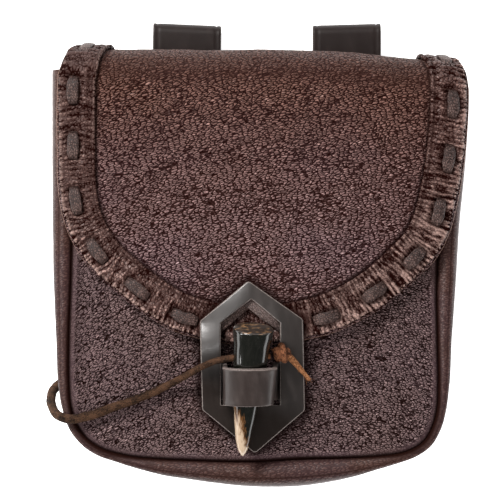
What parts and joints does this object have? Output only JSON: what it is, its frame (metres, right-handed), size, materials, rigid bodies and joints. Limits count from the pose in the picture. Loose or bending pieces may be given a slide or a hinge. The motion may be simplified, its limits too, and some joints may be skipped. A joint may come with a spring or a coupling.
{
  "type": "belt pouch",
  "caption": "Soft leather belt pouch with a laced flap, a six-sided clasp plate, a horn toggle on a cord and belt loops behind, lying on its back.",
  "frame": {"origin": "on the floor under the middle of the pouch", "axes": "+X to the right of the pouch as seen from its front, +Y towards the belt loops, +Z out of the front"},
  "size_m": [0.1917, 0.2119, 0.0783],
  "materials": {
    "grained_leather": "dark brown pebbled leather, satin",
    "border_leather": "finely wrinkled brown leather, satin",
    "lace_leather": "dark grey-brown leather thong",
    "smooth_black_leather": "smooth near-black leather, satin",
    "polished_horn": "polished dark horn with a cream tip",
    "suede_cord": "brown suede"
  },
  "bodies": {
    "root": {"front_panel": "grained_leather", "back_panel": "grained_leather", "gusset": "grained_leather", "flap": "grained_leather", "flap_border": "border_leather", "lace_left": "lace_leather", "lace_right": "lace_leather", "tie_left": "lace_leather", "tie_right": "lace_leather", "clasp_plate": "smooth_black_leather", "keeper_loop": "smooth_black_leather", "horn_toggle": "polished_horn", "belt_loop_left": "smooth_black_leather", "belt_loop_right": "smooth_black_leather", "toggle_cord": "suede_cord", "cord_knot": "suede_cord"}
  },
  "joints": []
}
